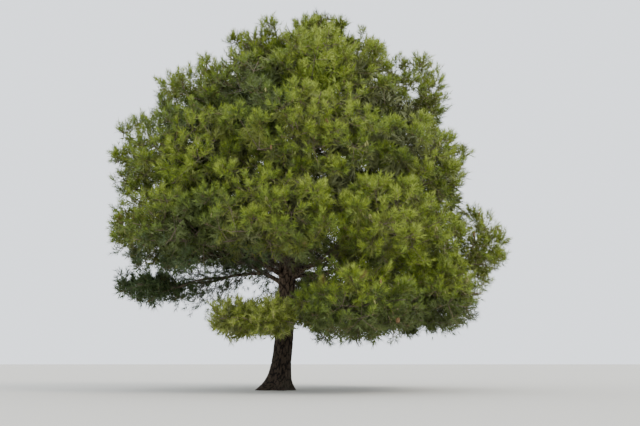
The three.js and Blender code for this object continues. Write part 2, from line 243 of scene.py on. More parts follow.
crown = dict(
    reachStray=0.26, heightStray=0.33, massGap=0.008,
    tiers=[
        dict(name="skirt", azimuths=[-54, -22, 12, 42, 70], reach=[5.1, 4.3, 4.0, 4.5],
             height=[2.2, 2.15, 2.3, 2.05], radii=[1.5, 1.5, 0.96],
             rootHeight=1.95, rootSpread=0.13, knee=0.33),
        dict(name="front_tuft", azimuths=[-101], reach=[3.2] * 4, height=[1.85] * 4,
             radii=[0.9, 1.15, 0.47], rootHeight=1.8, rootSpread=0.1, knee=0.26),
        dict(name="lower", azimuths=[0, 45, 90, 135, 180, 225, 270, 315], reach=[5.52, 4.45, 4.09, 4.4],
             height=[3.2, 3.6, 3.64, 3.7], radii=[1.6, 1.85, 1.12],
             rootHeight=2.6, rootSpread=0.19, knee=0.16),
        dict(name="hanging", azimuths=[176], reach=[4.08] * 4, height=[2.4] * 4,
             radii=[1.23, 1.15, 0.42], parent=("lower", 4), parentShare=0.42, rootSpread=0, knee=0.04),
        dict(name="middle", azimuths=[180, 231, 283, 334, 26, 77, 129], reach=[4.85, 4.3, 4.12, 4.25],
             height=[4.8, 5.35, 5.2, 5.25], radii=[1.6, 1.95, 1.26],
             rootHeight=3.95, rootSpread=0.25, knee=0.56),
        dict(name="upper", azimuths=[0, 60, 120, 180, 240, 300], reach=[4.25, 3.5, 3.25, 3.4],
             height=[6.92, 6.8, 6.6, 6.75], radii=[1.45, 1.7, 1.12],
             rootHeight=5.45, rootSpread=0.25, knee=0.26, onTrunk=True),
        dict(name="crest", azimuths=[0, 72, 144, 216, 288], axisX=0.5, reach=[2.3, 2.15, 2.15, 2.05],
             height=[7.88, 7.75, 7.72, 7.7], radii=[1.05, 1.2, 0.98],
             rootHeight=6.75, rootSpread=0.26, knee=0.19, onTrunk=True),
    ],
    topCentre=[1.0, 0, 8.56], topRadii=[0.76, 0.8, 0.78],
)

twig = dict(
    perMass=6, shares=(0.3, 0.95), reach=0.94, backward=0.75, forkShare=0.3, forkTurn=0.62,
    steps=8, bearing=[2, 6], rootRadius=0.02, tipRadius=0.008, wander=0.03, stemWander=0.02,
)


# The same random numbers from 0 to 1 as in the solids.
def seededRandom(seed):
    state = [seed]

    def draw():
        state[0] = (state[0] + 0x6d2b79f5) & 0xffffffff
        mixed = (state[0] ^ (state[0] >> 15)) * (1 | state[0]) & 0xffffffff
        mixed ^= (mixed + ((mixed ^ (mixed >> 7)) * (61 | mixed) & 0xffffffff)) & 0xffffffff
        return (mixed ^ (mixed >> 14)) / 4294967296
    return draw


def trunkAxis(height):
    height = np.asarray(height, float)
    return np.stack([np.interp(height, trunk["heights"], trunk["leanRight"]),
                     np.interp(height, trunk["heights"], trunk["leanBack"]), height], -1)


# Blends the values of the two sides nearest to this way out: of right, back, left and front.
def aroundTree(outward, sides):
    across, behind, _ = outward
    return (across * across * (sides[0] if across > 0 else sides[2])
            + behind * behind * (sides[1] if behind > 0 else sides[3]))


def layOutMasses():
    masses = []
    for tier in crown["tiers"]:
        for index, degrees in enumerate(tier["azimuths"]):
            random = seededRandom(len(masses) + 1)
            azimuth = math.radians(degrees)
            outward = np.array([math.cos(azimuth), math.sin(azimuth), 0])
            stray = abs(outward[1])
            distance = aroundTree(outward, tier["reach"]) - tier["radii"][0]
            centre = outward * (distance - stray * crown["reachStray"] * random())
            centre[0] += tier.get("axisX", 0)
            rise = stray * crown["heightStray"] * (2 * random() - 1)
            centre[2] = aroundTree(outward, tier["height"]) + rise
            masses.append(dict(
                name=tier["name"], tier=tier, index=index, centre=centre, random=random,
                radii=np.array(tier["radii"]),
                axes=np.array([outward, [-outward[1], outward[0], 0], upward])))
    masses.append(dict(
        name="top", tier=None, index=0, centre=np.array(crown["topCentre"]),
        random=seededRandom(len(masses) + 1), radii=np.array(crown["topRadii"]), axes=np.eye(3)))
    return masses


def ballReach(mass, ways):
    return 1 / np.maximum(lengthOf(ways @ mass["axes"].T / mass["radii"]), tiny)


# The needles fill a mass's corners a little more than its solid does.
def fullerReach(mass, ways):
    shares = np.abs(ways @ mass["axes"].T / mass["radii"])
    reach = np.sum(shares ** lump["fullness"], axis=-1) ** (-1 / lump["fullness"])
    return np.minimum(reach, wallReach(mass, ways))


def addWalls(masses):
    for mass in masses:
        normals, distances = [], []
        for other in [m for m in masses if m is not mass]:
            towards = other["centre"] - mass["centre"]
            apart = np.linalg.norm(towards)
            towards = towards / apart
            own, others = ballReach(mass, towards), ballReach(other, towards)
            if own + others + crown["massGap"] >= apart:
                normals.append(towards)
                distances.append(apart * own / (own + others) - crown["massGap"] / 2)
        mass["walls"] = np.array(normals), np.array(distances)


# How far it is to the nearest wall between this mass and another.
def wallReach(mass, ways, leastSlope=1e-6):
    normals, distances = mass["walls"]
    slopes = ways @ normals.T
    walls = np.where(slopes > leastSlope, distances / np.maximum(slopes, leastSlope), np.inf)
    return walls.min(axis=-1)


def spaceReach(mass, ways):
    return np.minimum(ballReach(mass, ways), wallReach(mass, ways))


# How deep in its mass's space a point is, on the line from the middle.
def depthInside(mass, points, reach=spaceReach):
    offsets = points - mass["centre"]
    return reach(mass, unit(offsets)) - lengthOf(offsets)


# Points at even steps along a curve that bends once.
def bentLine(root, middle, tip, steps):
    t = np.linspace(0, 1, 401)[:, None]
    fine = (1 - t) ** 2 * root + 2 * t * (1 - t) * middle + t * t * tip
    lengths = join([[0], np.cumsum(lengthOf(np.diff(fine, axis=0)))])
    return columnsAt(np.linspace(0, lengths[-1], steps + 1), lengths, fine)


def boughLine(root, tip, knee, steps):
    middle = between(root, tip, bough["kneeShare"]) + knee * upward
    return bentLine(root, middle, tip, steps)


def stemLine(tip, onward, centre, steps):
    middle = tip + onward * bough["stemStraight"] * np.linalg.norm(centre - tip)
    return bentLine(tip, middle, centre, steps)


def taper(first, last, steps, power):
    return between(first, last, np.linspace(0, 1, steps + 1) ** power)


# A bough ends where it enters its mass, and the stem goes on to the mass's middle.
def planLimbs(masses):
    boughs = {}
    steps, thinning, stemTip = bough["steps"], bough["taper"], bough["stemTipRadius"]
    for mass in masses:
        tier = mass["tier"]
        if tier is None:
            mass["stem"] = stemLine(trunkAxis(trunkTop), upward, mass["centre"], steps)
            mass["stemRadii"] = taper(bough["tipRadius"], stemTip, steps, 1)
            continue
        whorl = tier["rootSpread"] * bough["whorlSteps"][mass["index"] % len(bough["whorlSteps"])]
        if "parent" in tier:
            parent = boughs[tier["parent"]]["line"]
            root = parent[round(tier["parentShare"] * steps)]
        else:
            root = trunkAxis(tier["rootHeight"] + whorl)
        if tier.get("onTrunk"):
            mass["stem"] = boughLine(root, mass["centre"], tier["knee"], steps)
            mass["stemRadii"] = taper(bough["trunkStemRadius"], stemTip, steps, thinning)
            continue
        inward = unit(root - mass["centre"])
        tip = mass["centre"] + inward * bough["entry"] * spaceReach(mass, inward)
        line = boughLine(root, tip, tier["knee"], steps)
        rootRadius = bough["forkRadius"] if "parent" in tier else bough["rootRadius"]
        boughs[mass["name"], mass["index"]] = dict(
            line=line, radii=taper(rootRadius, bough["tipRadius"], steps, thinning), mass=mass)
        mass["stem"] = stemLine(tip, unit(line[-1] - line[-2]), mass["centre"], steps)
        mass["stemRadii"] = taper(bough["tipRadius"], stemTip, steps, 1)
    return boughs


# Directions spread evenly over a ball, or over a cap that is a share of it.
def spreadWays(count, start, capShare=1.0):
    level = 1 - capShare * (2 * np.arange(count) + 1) / count
    ring = np.sqrt(1 - level * level)
    angle = start + math.pi * (3 - math.sqrt(5)) * np.arange(count)
    return np.stack([ring * np.cos(angle), ring * np.sin(angle), level], -1)


def turnAbout(vector, axis, angle):
    axis = unit(axis)
    return (vector * math.cos(angle) + np.cross(axis, vector) * math.sin(angle)
            + axis * (axis @ vector) * (1 - math.cos(angle)))


# The twigs and forks of the solids: the leader goes straight out, the others all round.
def mainTwigs(mass):
    random, stem = mass["random"], mass["stem"]
    start = fullTurn * random()
    directions = unit(spreadWays(twig["perMass"] - 1, start) * mass["radii"] @ mass["axes"])
    leader = mass["axes"][0] if mass["tier"] else upward
    entry = max(0, int(np.argmax(depthInside(mass, stem) > 0)))
    backward = unit(stem[-2] - stem[-1])
    lines = []
    for direction in [leader, *directions]:
        share = between(*twig["shares"], random())
        random()        # the turn of the solid's tuft
        side = unit(np.cross([-direction[1], direction[0], 1e-3], direction))
        side = turnAbout(side, direction, fullTurn * random())
        root = stem[round(entry + (len(stem) - 1 - entry) * share)]
        forked = turnAbout(direction, side, twig["forkTurn"])
        tip = mass["centre"] + direction * twig["reach"] * spaceReach(mass, direction)
        fork = between(root, tip, twig["forkShare"])
        forkTip = mass["centre"] + forked * twig["reach"] * spaceReach(mass, forked)
        if direction @ backward < twig["backward"]:
            lines.append((root, tip))
        if forked @ backward < twig["backward"]:
            lines.append((fork, forkTip))
    return lines


masses = layOutMasses()
addWalls(masses)
boughs = planLimbs(masses)
print("laid out", len(masses), "masses and", len(boughs), "boughs")


# Sizes in metres. The trunk is old and dark at its foot and paler higher up. The dark at the foot is
# the bark's own colour. The paling higher up, on trunk and boughs, is partly its own and partly painted
# light.
bark = dict(
    rings=420, ringPower=1.15, sides=84, easing=0.35, plateWide=0.075, plateTall=0.21, plateDepth=0.024,
    lumpSize=0.4, lumpDepth=0.02, grainSize=0.02, fissureShare=0.06, shoulder=0.7, roughness=0.92,
    fissure="#1c1612", plate="#483d32", crest="#74685a", stops=(0.55, 0.85, 1.0), grainShare=0.7,
    tone=0.75, lichen="#5f5b49", lichenSize=0.35, lichenFrom=(0.52, 0.72), lichenShare=0.4,
    footShare=0.75, palerShare=3.0, palerFrom=(1.3, 2.6),
)


# Pushes bark out in plates with fissures between them, and keeps how high each point stands.
def raiseBark(piece, relief):
    mesh = piece.data
    deselectAll()
    bpy.context.view_layer.objects.active = piece
    piece.select_set(True)
    before, normals, after = (np.empty(len(mesh.vertices) * 3, np.float32) for _ in range(3))
    mesh.vertices.foreach_get("co", before)
    mesh.vertices.foreach_get("normal", normals)
    plates = bpy.data.textures.new(piece.name + "Plates", "VORONOI")
    plates.weight_1, plates.weight_2 = -1.0, 1.0    # high inside a cell and nothing at its edges
    plates.noise_scale = 1.0
    plates.use_color_ramp = True    # steep fissure walls and nearly flat plates
    plates.color_ramp.elements[0].color = (0, 0, 0, 1)
    plates.color_ramp.elements[1].color = (1, 1, 1, 1)
    shoulder = plates.color_ramp.elements.new(bark["fissureShare"])
    shoulder.color = (bark["shoulder"],) * 3 + (1,)
    lumps = bpy.data.textures.new(piece.name + "Lumps", "CLOUDS")
    lumps.noise_scale = 1.0
    plateSize = (relief["plateWide"], relief["plateWide"], relief["plateTall"])
    for texture, size, depth in [(plates, plateSize, relief["plateDepth"]),
                                 (lumps, (relief["lumpSize"],) * 3, relief["lumpDepth"])]:
        bpy.ops.object.empty_add(location=(0, 0, 0))
        place = bpy.context.object
        place.scale = size
        bpy.context.view_layer.update()
        bpy.context.view_layer.objects.active = piece
        modifier = piece.modifiers.new(texture.name, "DISPLACE")
        modifier.texture = texture
        modifier.texture_coords = "OBJECT"
        modifier.texture_coords_object = place
        modifier.strength = depth
        bpy.ops.object.modifier_apply(modifier=modifier.name)
        bpy.data.objects.remove(place)
        if texture is plates:
            mesh.vertices.foreach_get("co", after)
            raised = np.sum((after - before).reshape(-1, 3) * normals.reshape(-1, 3), axis=1)
            heights = np.clip(raised / depth + 0.5, 0, 1).astype(np.float32)
            mesh.attributes.new("plateHeight", "FLOAT", "POINT").data.foreach_set("value", heights)


# Old pine bark: corky plates, dull grey-brown on top and nearly black in the fissures. Its flakes
# are a few mm across in life and larger here, because finer ones don't show.
def barkFinish(name, grainSize):
    finish = plainFinish(name, bark["fissure"], bark["roughness"], specular=0.2)
    place = addNode(finish, "TexCoord").outputs["Object"]
    height = addNode(finish, "Attribute", attribute_name="plateHeight").outputs["Fac"]
    at = {"Vector": place}
    patches = addNode(finish, "TexNoise", {"Scale": 1 / bark["lichenSize"], "Detail": 3.0}, at)
    grain = addNode(finish, "TexNoise", {"Scale": 1 / grainSize, "Detail": 4.0, "Roughness": 0.7}, at)
    mixed = addNode(finish, "Math", {1: bark["grainShare"]}, {0: grain.outputs["Fac"], 2: height},
                    operation="MULTIPLY_ADD")
    scaled = addNode(finish, "Math", {1: bark["tone"]}, {0: mixed.outputs[0]}, operation="MULTIPLY")
    ramp = addNode(finish, "ValToRGB", links={"Fac": scaled.outputs[0]})
    stops = ramp.color_ramp.elements
    stops.new(bark["stops"][1])
    for stop, position, tone in zip(stops, bark["stops"], ("fissure", "plate", "crest")):
        stop.position, stop.color = position, linearColour(bark[tone])
    spread = addNode(finish, "MapRange", {
        "From Min": bark["lichenFrom"][0], "From Max": bark["lichenFrom"][1],
        "To Max": bark["lichenShare"]}, {"Value": patches.outputs["Fac"]})
    colour = addNode(finish, "Mix", {mixSecond: linearColour(bark["lichen"])},
                     {mixShare: spread.outputs[0], mixFirst: ramp.outputs["Color"]}, data_type="RGBA")
    # Paler higher up, on trunk and boughs alike: partly the bark's own colour and partly painted light
    # where the crown shades the limbs.
    risen = addNode(finish, "SeparateXYZ", links=at).outputs["Z"]
    paler = addNode(finish, "MapRange", {
        "From Min": bark["palerFrom"][0], "From Max": bark["palerFrom"][1],
        "To Min": bark["footShare"], "To Max": bark["palerShare"]}, {"Value": risen})
    weathered = addNode(finish, "VectorMath", links={
        0: colour.outputs[mixResult], "Scale": paler.outputs[0]}, operation="SCALE")
    return linkFinish(finish, weathered.outputs[0], grain.outputs["Fac"], 0.004, strength=0.5)


# Rings round the axis, with its bends eased and the buttresses of the roots at the foot.
def buildTrunk():
    sides = bark["sides"]
    heights = trunkTop * np.linspace(0, 1, bark["rings"]) ** bark["ringPower"]
    eased = np.clip(heights[:, None] + np.linspace(-bark["easing"], bark["easing"], 15), 0, None)
    axis = trunkAxis(eased).mean(axis=1)
    axis[:, 2] = heights
    radii = np.interp(eased, trunk["heights"], trunk["radii"]).mean(axis=1)
    azimuth = evenAngles(sides)
    left = np.maximum(0, -np.cos(azimuth)) ** 2
    roots = trunk["flareRootDepth"] * np.cos(trunk["flareRoots"] * azimuth + trunk["flareRootTurn"])
    flare = np.exp(-heights / trunk["flareHeight"])[:, None] * (
        trunk["flareSpread"] + trunk["flareLeftSpread"] * left + roots)
    around = radii[:, None] + flare
    outward = turned(*np.eye(3)[:2], azimuth[:, None])
    points = (axis[:, None] + outward * around[..., None]).reshape(-1, 3)
    here = np.arange(sides)
    after, count, top = np.roll(here, -1), len(points), len(points) - sides
    faces = join([wrapFaces(sides, bark["rings"]), np.stack([after, here, 0 * here + count], -1),
                  np.stack([here + top, after + top, 0 * here + count + 1], -1)])
    piece = buildPiece("trunkBark", join([points, axis[:1], axis[-1:]]), faces,
                       barkFinish("corkyTrunkBark", bark["grainSize"]), ["trunk"], smooth=True)
    raiseBark(piece, bark)
    for number, vertex in enumerate(piece.data.vertices):
        vertex.co.z = 0 if number < sides else max(vertex.co.z, 0)      # a flat cut at the ground


# Gentle wandering, so that no limb is a plain arc.
def wander(line, amount):
    share = np.linspace(0, 1, len(line))[:, None]
    across, up = squareTo(unit(line[-1] - line[0]))
    phases = uniform(0, fullTurn, 4)
    size = amount * np.linalg.norm(line[-1] - line[0]) * np.sin(math.pi * share)
    return (line + across * size * (np.sin(5 * share + phases[0]) + 0.5 * np.sin(11 * share + phases[1]))
            + up * size * (np.sin(4 * share + phases[2]) + 0.5 * np.sin(9 * share + phases[3])))


boughBark = dict(
    sides=14, rings=49, wander=0.024, collar=0.45, collarFade=14, clearance=0.05,
    plateWide=0.035, plateTall=0.06, plateDepth=0.007, lumpSize=0.15, lumpDepth=0.01, grainSize=0.012,
)


def buildBoughs():
    lines, radii = [], []
    share = np.linspace(0, 1, boughBark["rings"])
    for limb in boughs.values():
        places = np.linspace(0, 1, len(limb["line"]))
        limb["line"] = wander(columnsAt(share, places, limb["line"]), boughBark["wander"])
        lines.append(limb["line"])
        collar = 1 + boughBark["collar"] * np.exp(-share * boughBark["collarFade"])
        radii.append(np.interp(share, places, limb["radii"]) * collar)
    points, faces = tubes(np.array(lines), np.array(radii), boughBark["sides"])
    finish = barkFinish("youngBoughBark", boughBark["grainSize"])
    raiseBark(buildPiece("boughBark", points, faces, finish, nodes=boughNodes, smooth=True), boughBark)


buildTrunk()
buildBoughs()

# Where the limbs run, so that no spray grows into one.
trunkRings = np.linspace(0, trunkTop, 90)
limbPoints = join([trunkAxis(trunkRings)] + [limb["line"] for limb in boughs.values()])
limbRadii = np.full(len(limbPoints), boughBark["clearance"])
limbRadii[:len(trunkRings)] = np.interp(trunkRings, trunk["heights"], trunk["radii"])


def clearOfLimbs(points, margin):
    return (lengthOf(points[:, None] - limbPoints[None]) - limbRadii).min(axis=1) > margin


# The ball of the crown's outer needles, where the light comes in.
daylight = dict(centre=np.array([0.6, 0, 4.6]), radii=np.array([4.9, 4.35, 4.75]))

shading = dict(
    tiers=dict(skirt=0.22, lower=0.06, front_tuft=-0.28), rise=0.18,
    undersides=dict(skirt=1.3, lower=0.5), underFrom=0.2, openEnd=0.6,
    # hollows between boughs on the front, then sunlit shoulders: (to the right, height, reach, shade)
    patches=[(-0.35, 6.3, 0.7, 0.8), (-2.2, 5.9, 0.8, 0.45), (-1.5, 3.7, 0.7, 0.35),
             (-2.0, 2.8, 0.8, 0.5), (2.6, 5.9, 0.7, 0.25), (0.9, 2.6, 0.6, 0.3), (2.8, 1.6, 0.7, 0.5),
             (0.9, 6.8, 0.9, -0.35), (-2.0, 4.7, 0.8, -0.35), (2.9, 2.6, 0.8, -0.28)],
    # the score that a shoot's needles are sorted by, from shade to full light
    light=0.35, lightFrom=0.6, rising=0.22, tones=0.5, chance=0.15, young=0.3, across=0.03,
    hollowFrom=0.2, shoulderFrom=-0.2, darkSide=(-0.2, 3.1), darkTop=2.78, tuftCorner=(-1.2, 2.35),
    lowSide=(0.75, 2.0),
)

# (name, colour, share of the pairs), from painted shade to painted full light. The brightest tints
# also hold more of the young needles at the shoots' tips.
needleTints = [
    ("shadeNeedles", "#4e5a27", 0.11),
    ("deepNeedles", "#576726", 0.14),
    ("oliveNeedles", "#607326", 0.17),
    ("middleNeedles", "#6d7f27", 0.18),
    ("sunNeedles", "#788a28", 0.17),
    ("brightNeedles", "#82922a", 0.14),
    ("youngSunlitNeedles", "#8d9b39", 0.09),
]
# Painted shade: the inner and hanging needles are dark as if little light reached them. Painted light:
# the tuft's paler needles. The base needles' green is partly their own older colour and partly painted
# shade under the tufts. The dry needles' brown is their own.
placeColours = dict(    # of the needles that have their colour by their place
    innerNeedles="#60653a", baseNeedles="#677029", hangingNeedles="#485932", tuftNeedles="#98a055",
    dryNeedles="#7c6840",
)


def lightShare(points):
    return lengthOf((points - daylight["centre"]) / daylight["radii"])


# How much darker the crown's front is at its hollows; less than 0 is lighter.
def patchShade(points):
    shade = np.zeros(len(points))
    for right, height, reach, amount in shading["patches"]:
        apart = np.hypot(points[:, 0] - right, points[:, 2] - height) / reach
        shade += amount * np.exp(-apart ** 2) * (points[:, 1] < 0)
    return shade


lump = dict(
    fullness=3.6, area=0.45, areaPower=1.6075, reach=0.55, reachSpread=0.35, largest=0.7,
    cutFrom=0.97, cutShare=0.6, branchShares=(0.15, 0.8, 8), ahead=0.3, backCost=1.0, bend=0.35,
    litFrom=0.66, litSpread=0.12, denser=dict(front_tuft=1.6), twigRadii=(0.011, 0.006),
    openSide=(-0.1, 3.15), openShare=0.55,      # the sky shows between the twigs left of and below it
)


# The mass's twigs carried on: lumps of puffs, each on a twig from the nearest branch.
def growLumps(mass):
    power = lump["areaPower"]       # for the area of an ellipsoid
    first, second, third = mass["radii"] ** power
    area = 4 * math.pi * ((first * second + first * third + second * third) / 3) ** (1 / power)
    count = int(area / lump["area"] * lump["denser"].get(mass["name"], 1))
    directions = spreadWays(count, fullTurn * mass["random"]())
    directions = unit(directions * mass["radii"] @ mass["axes"])
    full = fullerReach(mass, directions)
    outer = lump["reach"] * (1 + lump["reachSpread"] * uniform(-1, 1, count))
    cut = full < lump["cutFrom"] * ballReach(mass, directions)
    outer = np.minimum(np.where(cut, lump["cutShare"] * outer, outer), lump["largest"] * full)
    middles = mass["centre"] + directions * (full - outer)[:, None]
    lit = lightShare(mass["centre"] + directions * full[:, None]) > (
        lump["litFrom"] + lump["litSpread"] * uniform(-1, 1, count))
    mass["mains"] = mainTwigs(mass)
    steps = np.linspace(*lump["branchShares"])[:, None]
    branches = [(mass["stem"][0], mass["stem"][-1]), *mass["mains"]]
    points = join([between(*branch, steps) for branch in branches])
    ways = np.repeat([unit(tip - root) for root, tip in branches], len(steps), axis=0)
    towards = middles[:, None] - points[None]
    apart = lengthOf(towards)
    ahead = np.sum(towards * ways, axis=-1) / np.maximum(apart, tiny)
    best = np.argmin(apart + np.where(ahead < lump["ahead"], lump["backCost"], 0), axis=1)
    bends = points[best] + ways[best] * apart.min(1)[:, None] * lump["bend"]
    openRight, openTop = lump["openSide"]
    kept = (mass["name"] != "lower") | (middles[:, 0] > openRight) | (middles[:, 2] > openTop)
    kept |= uniform(size=count) > lump["openShare"]
    twigs = np.stack([points[best], bends, middles], 1)
    return [values[kept] for values in (middles, outer, directions, twigs, lit)]


puff = dict(
    perLump=6, reach=0.3, nearest=0.1, capShare=0.65, stray=0.12, upward=0.3,
    facing=(0.5, 0.9, 0.3),         # outwards in its mass, to the open air and up
    ownTone=0.4, lumpTone=0.6, tip=0.16, overhang=0.06, clearance=0.1, twigRadii=(0.006, 0.004),
    neighbours=3, within=0.42,
)


def growPuffs(mass, middles, reaches, directions):
    outwards, airwards, upwards = puff["facing"]
    grown = []
    for middle, reach, direction in zip(middles, reaches, directions):
        openAir = unit((middle - daylight["centre"]) / daylight["radii"] ** 2)
        facing = unit(outwards * direction + airwards * openAir + upwards * upward)
        across, up = squareTo(facing)
        cap = spreadWays(puff["perLump"], uniform(0, fullTurn), puff["capShare"])
        cap = unit(cap @ np.array([across, up, facing]) + puff["stray"] * randomUnits(len(cap)))
        tones = puff["lumpTone"] * uniform() + puff["ownTone"] * uniform(size=len(cap))
        grown.append((np.repeat(middle[None], len(cap), axis=0),
                      middle + cap * max(reach - puff["reach"], puff["nearest"]),
                      unit(cap + puff["upward"] * upward), tones))
    roots, bases, ways, tones = (join(parts) for parts in zip(*grown))
    name = mass["name"]
    # Painted light and shade for each puff's tints: the top of a mass is lighter, and undersides, shaded
    # tiers and hollows are darker. The lower tier's underside on the open side takes the hanging needles'
    # painted shade.
    rise = (bases[:, 2] - mass["centre"][2]) / mass["radii"][2]
    below = shading["undersides"].get(name, 0) * np.clip(-rise - shading["underFrom"], 0, 1)
    below *= (name != "lower") | (bases[:, 0] < shading["openEnd"])
    shade = shading["tiers"].get(name, 0) - shading["rise"] * rise + below + patchShade(bases)
    underneath = (bases[:, 0] < shading["darkSide"][0]) & (bases[:, 2] < shading["darkSide"][1])
    kinds = np.where(underneath & (name == "lower"), "hanging", name)
    kept = depthInside(mass, bases + ways * puff["tip"], fullerReach) > -puff["overhang"]
    kept &= clearOfLimbs(bases + ways * puff["clearance"], puff["clearance"])
    return {key: values[kept] for key, values in dict(
        roots=roots, bases=bases, ways=ways, tones=tones, shade=shade, kinds=kinds).items()}


mainLines, mainRadii, mainTips, lumpTwigs, innerTwigs, puffParts = ([] for _ in range(6))
for mass in masses:
    middles, reaches, directions, twigs, lit = growLumps(mass)
    mainLines.append(wander(mass["stem"][::3], twig["stemWander"]))
    mainRadii.append(mass["stemRadii"][::3])
    for root, tip in mass["mains"]:
        line = between(root, tip, np.linspace(0, 1, twig["steps"] + 1)[:, None])
        mainLines.append(wander(line, twig["wander"]))
        mainRadii.append(taper(twig["rootRadius"], twig["tipRadius"], twig["steps"], 1))
        mainTips.append(line[twig["bearing"]])
    lumpTwigs.append(twigs)
    innerTwigs.append(twigs[~lit])
    puffParts.append(growPuffs(mass, middles[lit], reaches[lit], directions[lit]))
lumpTwigs, innerTwigs, mainTips = join(lumpTwigs), join(innerTwigs), np.array(mainTips)
puffs = {key: join([part[key] for part in puffParts]) for key in puffParts[0]}

# A puff with too few others near it would seem to float, so it is left out.
tree = KDTree(len(puffs["bases"]))
for number, base in enumerate(puffs["bases"]):
    tree.insert(base, number)
tree.balance()
together = np.array([tree.find_n(base, puff["neighbours"] + 1)[-1][2] < puff["within"]
                     for base in puffs["bases"]])
puffs = {key: values[together] for key, values in puffs.items()}
puffTwigs = np.stack([puffs["roots"], puffs["bases"]], 1)
print("grew", len(lumpTwigs), "lumps with", len(puffTwigs), "puffs")

shell = dict(twigs=900, shares=(0.5, 0.74), lowest=3.4, farthest=1.1, clearance=0.2)


# Twigs to points spread round the inside of the crown, each from the nearest branch.
def growShell():
    ways = spreadWays(shell["twigs"], 0)
    share = uniform(*shell["shares"], (len(ways), 1))
    ends = daylight["centre"] + ways * share * daylight["radii"]
    branches = join([join(mainLines), lumpTwigs[:, 1], lumpTwigs[:, 2]])
    apart = lengthOf(ends[:, None] - branches[None])
    kept = (apart.min(1) < shell["farthest"]) & (ends[:, 2] > shell["lowest"])
    kept &= clearOfLimbs(ends, shell["clearance"])
    return np.stack([branches[apart.argmin(1)], ends], 1)[kept]


fork = dict(shares=(0.4, 0.58, 0.76), reach=0.5, knee=0.08, steps=8, radii=(0.026, 0.011), wander=0.02)


# Living forks that run from each bough up to its mass's twigs.
def planForks():
    lines = []
    for limb in boughs.values():
        line = limb["line"]
        mains = sorted(limb["mass"]["mains"], key=lambda main: np.linalg.norm(main[1] - line[-1]))
        for share, (root, tip) in zip(fork["shares"], mains):
            start = line[round(share * (len(line) - 1))]
            end = between(root, tip, fork["reach"])
            middle = (start + end) / 2 + fork["knee"] * upward
            lines.append(wander(bentLine(start, middle, end, fork["steps"]), fork["wander"]))
    return lines


# Twig bark: thin and grey-brown, paler where scars of old needles roughen it. The scars are 3 mm
# in life and 20 mm here, because finer ones don't show.
def buildTwigs():
    forkRadii = np.tile(taper(*fork["radii"], fork["steps"], 1), (len(forkLines), 1))
    points, faces = joinMeshes(
        tubes(np.array(mainLines + forkLines), join([mainRadii, forkRadii]), 5),
        thinTwigs(lumpTwigs, lump["twigRadii"]), thinTwigs(puffTwigs, puff["twigRadii"]),
        thinTwigs(shellTwigs, puff["twigRadii"]))
    buildPiece("twigWood", points, faces, grainedFinish(
        "scarredTwigBark", "#54493d", "#7d7061", 0.02, (0.38, 0.62), 0.002, 0.85))


shellTwigs = growShell()
forkLines = planForks()
buildTwigs()

dead = dict(
    perBough=24, onHanging=60, lowest=1.3, firstShare=0.22, forward=0.75, flatness=0.7,
    lengths=(0.35, 1.0), radii=(0.008, 0.003), droop=0.18, bend=0.04, stray=0.2, sideTwigs=5,
    sideLengths=(0.12, 0.4), sideRadii=(0.004, 0.002), sideStray=0.9, weathered="#544e47",
    lichen="#81796f", spraySide=(-0.2, 3.7), sprayStart=0.1, sprayLength=0.14,
)


# Thin dead twigs that the shaded boughs keep, each with side twigs. Their bark has gone, and the
# dull grey wood has paler spots of lichen about 50 mm apart.
def buildDeadTwigs():
    roots, ways, lengths = [], [], []
    for (tier, _), limb in boughs.items():
        line = limb["line"]
        count = dead["onHanging"] if tier == "hanging" else dead["perBough"]
        share = (np.arange(count) + uniform(size=count)) / count
        share = between(dead["firstShare"], 1, share)
        at = np.minimum((share * (len(line) - 1)).astype(int), len(line) - 2)
        along = unit(line[at + 1] - line[at])
        across, up = squareTo(along)
        turn = uniform(0, fullTurn, (len(at), 1))
        roots.append(line[at])
        ways.append(unit(dead["forward"] * along + across * np.cos(turn)
                         + dead["flatness"] * up * np.sin(turn)))
        lengths.append(uniform(*dead["lengths"], len(at)))
    roots, ways, lengths = join(roots), join(ways), join(lengths)[:, None]
    middles = roots + ways * lengths * 0.5 + dead["bend"] * randomUnits(len(roots))
    fallen = ways - dead["droop"] * upward + dead["stray"] * randomUnits(len(roots))
    tips = roots + unit(fallen) * lengths
    lines = np.stack([roots, middles, tips], 1)
    count = dead["sideTwigs"]
    share = np.tile((np.arange(count) + 1) / (count + 0.5), len(roots))[:, None]
    base = np.repeat(lines, count, axis=0)
    sideRoots = np.where(share < 0.5, between(base[:, 0], base[:, 1], share * 2),
                         between(base[:, 1], base[:, 2], share * 2 - 1))
    sideWays = unit(np.repeat(ways, count, axis=0) + dead["sideStray"] * randomUnits(len(sideRoots)))
    sideTips = sideRoots + sideWays * uniform(*dead["sideLengths"], (len(sideRoots), 1))
    high = tips[:, 2] > dead["lowest"]      # none hangs alone below the tufts
    sideHigh = np.repeat(high, count) & (sideTips[:, 2] > dead["lowest"])
    points, faces = joinMeshes(
        thinTwigs(lines[high], dead["radii"]),
        thinTwigs(np.stack([sideRoots, sideTips], 1)[sideHigh], dead["sideRadii"]))
    buildPiece("deadTwigs", points, faces, grainedFinish(
        "weatheredDeadWood", dead["weathered"], dead["lichen"], 0.05, (0.4, 0.6), 0.002, 0.9))
    return sideTips, sideWays


deadTips, deadWays = buildDeadTwigs()

shoot = dict(
    perPuff=5, firstShare=0.55, spread=0.55, upward=0.75, lengths=(0.14, 0.24), radius=0.004,
    low="#64553a", high="#8e7d5c",
)


# Each puff's twig bears shoots along its outer part, and they turn up to the light.
def growShoots():
    grown = {key: np.repeat(values, shoot["perPuff"], axis=0) for key, values in puffs.items()}
    roots, count = grown["roots"], len(grown["roots"])
    roots = between(roots, grown["bases"], uniform(shoot["firstShare"], 1, (count, 1)))
    ways = unit(grown["ways"] + shoot["spread"] * randomUnits(count))
    return grown | dict(roots=roots, ways=unit(ways + shoot["upward"] * upward),
                        lengths=uniform(*shoot["lengths"], count))


